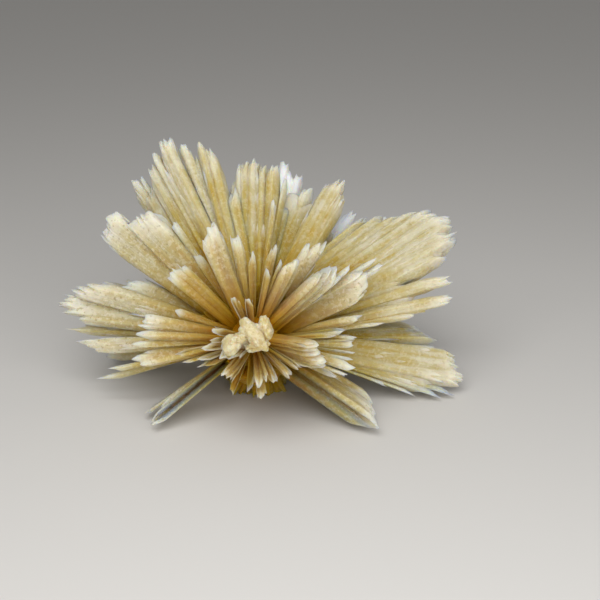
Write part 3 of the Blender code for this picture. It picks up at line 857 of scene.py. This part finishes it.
knob = []
rng = np.random.default_rng(900)
for lump in KNOB_LUMPS:
    knob.extend(knob_lumps(*lump, rng))
crystals("knob", knob + [
    *front_fan(KNOB_STALK, 18, 18, [(-3.6, -1.6), (-1.5, -0.2), (1.2, 0.6)], 0.2, 901, 0),
    *front_fan(1.0, 19.6, 19.6, [
        (-5.0, -0.9), (-5.2, -1.3), (-4.9, -1.8), (-5.2, -2.5), (-5.4, -3.1), (-4.8, -2.9),
        (-4.3, -3.3), (-3.8, -3.0), (-2.9, -2.8), (-2.4, -3.2), (-2.2, -2.5)], 0.7, 902, 0),
])

# The blades above the knob.
# Shorter blades of calcite that grew before the top ones, rough and speckled where they face
# the light.
crystals("upper_front_blades", [
    *front_fan(2.0, 10, 9, [
        (-7.9, 13.5), (-7.9, 15.0), (-7.4, 16.2), (-7.2, 16.8), (-6.7, 16.9), (-6.3, 17.6),
        (-5.9, 17.2), (-5.6, 16.4), (-4.8, 15.4), (-4.4, 14.1)], 0.8, 251),
    *front_fan(1.8, 9, 8, [
        (-3.7, 14.7), (-3.8, 15.8), (-3.2, 15.9), (-2.7, 15.7), (-2.2, 14.9), (-1.8, 13.9),
        (-1.5, 13.0)], 0.55, 252, 0),
    *front_fan(1.3, 9, 9, [
        (-1.0, 10.9), (-0.7, 12.3), (-0.3, 13.3), (0.0, 12.4), (0.2, 10.9)], 0.4, 253, 0),
    *front_fan(1.4, 7, 7, [
        (1.6, 11.7), (2.1, 12.7), (2.6, 13.8), (3.2, 14.2), (3.4, 13.5), (3.2, 12.4)], 0.35, 254, 0),
    *front_fan(1.1, 12, 12, [(1.4, 9.7), (1.7, 10.7), (2.0, 10.5), (2.4, 9.5)], 0.4, 255, 0),
    *front_fan(1.1, 11, 11, [
        (2.9, 9.7), (3.5, 10.8), (3.9, 11.9), (4.1, 11.1), (3.9, 10.2)], 0.4, 256, 0),
    *front_fan(2.0, 12, 11, [
        (3.9, 9.9), (4.6, 10.9), (5.4, 11.6), (6.1, 11.8), (6.6, 12.3), (6.7, 11.9), (6.5, 10.8),
        (6.2, 9.7)], 0.7, 257, 0),
    *front_fan(2.2, 5, 4, [
        (7.4, 13.7), (7.9, 14.4), (8.4, 14.7), (8.9, 14.1), (9.4, 14.4), (10.1, 14.7), (10.8, 14.7),
        (10.6, 13.8), (10.3, 13.0)], 0.9, 258),
    *front_fan(2.2, 12, 11, [
        (7.9, 8.0), (9.2, 9.1), (10.2, 9.9), (10.7, 9.3), (11.4, 10.6), (11.8, 9.9), (12.3, 10.7),
        (12.6, 9.7), (13.1, 9.7), (13.0, 9.0)], 0.9, 259, 0.6),
    *front_fan(1.4, 10, 10, [
        (12.8, 9.9), (13.6, 10.5), (14.3, 11.1), (14.3, 10.4), (13.7, 9.6)], 0.8, 260, 0),
    *front_fan(2.6, 9, 7, [
        (13.9, 9.2), (14.7, 9.8), (15.6, 9.8), (16.5, 10.1), (17.2, 9.8), (17.6, 9.1), (17.3, 8.1),
        (17.1, 7.3), (16.5, 6.8), (15.6, 5.4)], 0.9, 261),
    *front_fan(1.2, 7, 7, [
        (15.7, 10.7), (16.8, 11.4), (18.3, 12.1), (18.1, 11.7), (17.3, 10.9)], 0.6, 262, 0),
    *front_fan(1.4, 6, 6, [
        (17.9, 10.7), (18.7, 11.3), (19.4, 11.1), (19.2, 10.6), (18.3, 9.8)], 0.7, 263, 0),
    *front_fan(1.3, 15, 15, [(-3.6, 5.5), (-3.7, 6.2), (-3.1, 6.1), (-2.3, 5.5)], 0.3, 264, 0),
    *front_fan(1.2, 15, 15, [(-1.5, 5.3), (-1.5, 6.0), (-0.9, 5.9), (-0.3, 5.0)], 0.3, 265, 0),
    *front_fan(0.9, 6, 7, [
        (-9.2, 12.0), (-9.2, 12.6), (-8.7, 12.9), (-8.0, 12.4), (-7.8, 11.8)], 0.3, 266, 0),
    *front_fan(1.1, 9, 9, [
        (-13.2, 9.0), (-12.8, 10.7), (-12.2, 10.4), (-11.9, 11.3), (-11.2, 10.6), (-10.8, 11.2),
        (-9.3, 9.9)], 0.3, 267, 0),
    *front_fan(1.3, 9, 9, [(-11.7, 3.3), (-12.1, 4.2), (-11.5, 4.5), (-10.2, 4.0)], 0.3, 268, 0),
    *front_fan(0.8, 11, 11, [(12.2, 1.5), (13.8, 1.2), (12.3, 0.9)], 0.3, 269, 0),
    *front_fan(0.7, 12, 12, [(11.0, 0.6), (12.4, 0.4), (11.1, 0.0)], 0.3, 270, 0),
    *front_fan(0.9, 11, 11, [(13.7, 0.4), (15.1, -0.2), (13.5, -0.4)], 0.3, 271, 0),
])

# The blades on the left.
# Two broad fans of calcite one above the other, chisel-ended, with thin splinters that grew
# below them.
crystals("left_blades", [
    *front_fan(2.4, -1, 1, [
        (-20.6, 12.6), (-21.4, 13.7), (-22.2, 14.7), (-23.3, 15.7), (-23.2, 16.9), (-22.3, 17.3),
        (-22.7, 18.3), (-21.8, 18.8), (-20.9, 19.1), (-20.3, 18.6), (-19.6, 17.8)], 0.8, 281),
    *front_fan(2.6, 1, 2, [
        (-19.8, 17.4), (-18.9, 18.2), (-18.0, 18.3), (-17.8, 18.7), (-16.9, 18.7), (-15.9, 19.2),
        (-15.3, 18.8), (-14.4, 17.9), (-13.3, 17.1)], 0.8, 282),
    *front_fan(0.9, 2, 2, [(-12.6, 16.7), (-12.4, 17.7), (-12.0, 17.7), (-11.2, 16.7)], 0.4, 283, 0),
    *front_fan(2.4, 1, 0, [
        (-21.0, 7.9), (-23.8, 8.1), (-25.7, 8.2), (-26.1, 7.8), (-27.0, 7.8), (-27.3, 7.3),
        (-27.7, 7.3), (-27.4, 6.7), (-27.5, 6.3)], 0.9, 284),
    *front_fan(2.2, -1, 0, [
        (-27.7, 6.5), (-28.9, 6.5), (-29.3, 5.9), (-29.6, 5.2), (-29.7, 4.9), (-29.0, 4.8),
        (-28.2, 4.5), (-29.0, 3.8), (-27.8, 3.6), (-26.9, 3.5), (-26.3, 2.7), (-25.4, 2.1)], 0.9, 285),
    *front_fan(1.4, -2, -2, [
        (-25.4, 2.0), (-26.4, 1.5), (-28.6, 1.4), (-27.0, 1.1), (-25.1, 0.5), (-23.8, 0.3)], 0.1, 286),
    *front_fan(1.6, 0, 1, [
        (-22.6, 0.0), (-24.2, -0.2), (-25.9, -0.5), (-27.0, -0.6), (-25.9, -1.0), (-25.1, -1.4),
        (-23.9, -2.1), (-22.6, -2.2), (-21.2, -2.3)], 0.9, 287),
    *front_fan(0.7, -4, -4, [(-18.9, 8.8), (-20.0, 8.8), (-18.8, 8.2)], 0.5, 288, 0),
    *front_fan(1.2, -2, -2, [
        (-20.6, 7.7), (-19.1, 8.4), (-18.0, 8.6), (-16.8, 9.1), (-16.2, 8.7)], 0.8, 289, 0),
    *front_fan(1.9, 10, 10, [
        (-15.6, 3.6), (-16.4, 3.5), (-16.6, 2.8), (-17.2, 2.4), (-17.8, 2.0), (-17.3, 1.7),
        (-16.4, 1.3)], 0.6, 290),
    *front_fan(1.4, 10, 11, [
        (-16.4, 1.1), (-17.1, 1.0), (-18.1, 0.6), (-17.1, 0.3), (-15.6, 0.2)], 0.6, 291, 0),
    *front_fan(1.4, 10, 10, [
        (-16.1, -0.4), (-17.4, -0.5), (-18.7, -0.9), (-17.9, -1.2), (-16.4, -1.4)], 0.5, 292, 0),
    *front_fan(0.9, 9, 9, [(-16.1, -1.9), (-16.9, -2.3), (-15.5, -2.6)], 0.3, 293, 0),
    *front_fan(1.5, 9, 10, [
        (-17.7, -2.6), (-18.8, -3.3), (-18.1, -3.9), (-17.2, -4.2), (-15.6, -4.0)], 0.6, 294, 0),
    *front_fan(1.2, 2, 2, [(-20.7, -4.2), (-22.2, -4.6), (-21.0, -4.7), (-20.2, -5.0)], 0.4, 295, 0),
    *front_fan(1.2, 0, 0, [(-21.6, -5.4), (-23.8, -6.1), (-22.3, -6.2), (-20.3, -6.1)], 0.4, 296, 0),
    *front_fan(1.5, 2, 2, [(-15.1, -10.0), (-16.8, -11.5), (-16.0, -11.5), (-14.5, -10.4)], 0.9, 297, 0),
    *front_fan(1.5, 2, 2, [(-14.5, -11.8), (-16.1, -13.3), (-15.3, -13.0), (-13.7, -11.4)], 0.9, 298, 0),
    *front_fan(1.4, 4.5, 5.5, [
        (-13.5, -9.2), (-14.2, -10.2), (-13.9, -10.7), (-13.3, -10.6), (-12.7, -10.6)], 0.9, 303, 0),
    *front_fan(1.2, 4, 4, [(-10.9, -8.7), (-10.6, -9.7), (-9.8, -9.2)], 0.6, 299, 0),
    *front_fan(1.1, 13, 13, [(-11.2, -2.1), (-12.2, -2.5), (-11.2, -2.7), (-9.8, -2.5)], 0.3, 300, 0),
    *front_fan(0.8, 13, 13, [(-9.8, -3.3), (-11.0, -3.7), (-9.9, -3.8)], 0.3, 301, 0),
])

# The blades behind.
# The side that the front hides grew in the same way, as broad calcite blades about a dozen
# directions.
BACK_FANS = [  # degrees around and above level, mm long, main tips, degrees wide and of roll
    (20, -8, 28.5, 4, 17, 8), (28, 12, 29.0, 4, 15, -20), (50, -15, 28.0, 4, 17, 5),
    (62, 14, 27.5, 5, 18, 30), (85, -17, 29.0, 4, 17, 0), (96, 20, 27.0, 5, 18, -25),
    (118, -5, 28.5, 5, 17, 12), (132, 26, 27.0, 4, 16, -35), (150, -16, 28.0, 4, 16, 0),
    (160, 10, 28.0, 4, 15, 20), (70, 42, 24.0, 4, 18, 60), (112, 48, 24.0, 4, 18, -60),
    (40, 28, 25.0, 4, 16, -40), (150, 42, 24.0, 4, 16, 40),
]
BACK_THICKNESS = 2.4
BACK_FROST = 0.3
GOLDEN_SHARE = 0.618034


def back_row(around, rise, reach, count, spread, roll):
    """Tips of one fan behind: heart + (middle * cos(turn) + side * sin(turn)) * length, where the
    side is a level line turned about the middle direction by the roll."""
    around, rise, spread, roll = np.radians([around, rise, spread, roll])
    middle = np.array([np.cos(rise) * np.cos(around), np.cos(rise) * np.sin(around), np.sin(rise)])
    level = np.array([-np.sin(around), np.cos(around), 0])
    side = level * np.cos(roll) + np.cross(middle, level) * np.sin(roll)
    turn = spread * (np.arange(count) / (count - 1) - 0.5)
    uneven = 0.94 + 0.10 * ((np.arange(count) * GOLDEN_SHARE + around) % 1)
    length = reach * uneven * np.cos(turn * 1.6)
    return HEART + (np.outer(np.cos(turn), middle) + np.outer(np.sin(turn), side)) * length[:, None]


back_left = []
back_right = []
for number, fan in enumerate(BACK_FANS):
    rng = np.random.default_rng(500 + number)
    blades = plated_blade(toothed(back_row(*fan), rng), BACK_THICKNESS, rng, BACK_FROST)
    (back_left if fan[0] > 90 else back_right).extend(blades)
crystals("back_left_blades", back_left)
crystals("back_right_blades", back_right)

# The stage.
# A plain pale floor under soft studio light, and the camera in front and a little above.
FLOOR_REACH = 3.0  # metres
FLOOR_DROP = 0.0001  # metres; the floor lies just clear of the flat spot
PALE_GREY = (0.62, 0.61, 0.60, 1)
DAYLIGHT = (1.0, 0.985, 0.95, 1)
floor_corners = np.array([[-1, -1, 0], [1, -1, 0], [1, 1, 0], [-1, 1, 0]]) * FLOOR_REACH
floor_mesh = bpy.data.meshes.new("floor")
floor_mesh.from_pydata(floor_corners.tolist(), [], [(0, 1, 2, 3)])
floor = bpy.data.objects.new("floor", floor_mesh)
bpy.context.scene.collection.objects.link(floor)
floor.location.z = -FLOOR_DROP
pale = bpy.data.materials.new("pale floor")
pale.use_nodes = True
pale.node_tree.nodes["Principled BSDF"].inputs["Base Color"].default_value = PALE_GREY
pale.node_tree.nodes["Principled BSDF"].inputs["Roughness"].default_value = 0.9
floor.data.materials.append(pale)


def soft_light(name, place, aim, size, power, colour):
    """A square area light at a place, turned to face its aim; places in mm, power in watts."""
    light = bpy.data.lights.new(name, "AREA")
    light.size = size * MM
    light.energy = power
    light.color = colour
    lamp = bpy.data.objects.new(name, light)
    lamp.location = np.array(place) * MM
    way = (np.array(aim) - np.array(place)).tolist()
    lamp.rotation_euler = Vector(way).to_track_quat("-Z", "Y").to_euler()
    bpy.context.scene.collection.objects.link(lamp)


soft_light("key", (-35, -120, 175), (0, 0, 12), 150, 0.26, (1.0, 0.99, 0.96))
soft_light("fill", (70, -180, 100), (0, 0, 12), 200, 0.28, (1.0, 0.99, 0.97))
world = bpy.data.worlds.new("studio")
world.use_nodes = True
world.node_tree.nodes["Background"].inputs["Color"].default_value = DAYLIGHT
world.node_tree.nodes["Background"].inputs["Strength"].default_value = 0.27
bpy.context.scene.world = world
bpy.context.scene.view_settings.view_transform = "Standard"

camera_data = bpy.data.cameras.new("camera")
camera_data.lens = 80
camera_data.sensor_width = 36
camera_data.clip_start = 0.01
camera = bpy.data.objects.new("camera", camera_data)
ahead = np.array([0, np.cos(VIEW_RISE), -np.sin(VIEW_RISE)])
upward = np.array([0, np.sin(VIEW_RISE), np.cos(VIEW_RISE)])
aim = HEART + np.array([VIEW_AXIS[0], 0, 0]) + upward * VIEW_AXIS[1]
camera.location = (aim - ahead * VIEW_DISTANCE) * MM
camera.rotation_euler = (np.pi / 2 - VIEW_RISE, 0, 0)
bpy.context.scene.collection.objects.link(camera)
bpy.context.scene.camera = camera
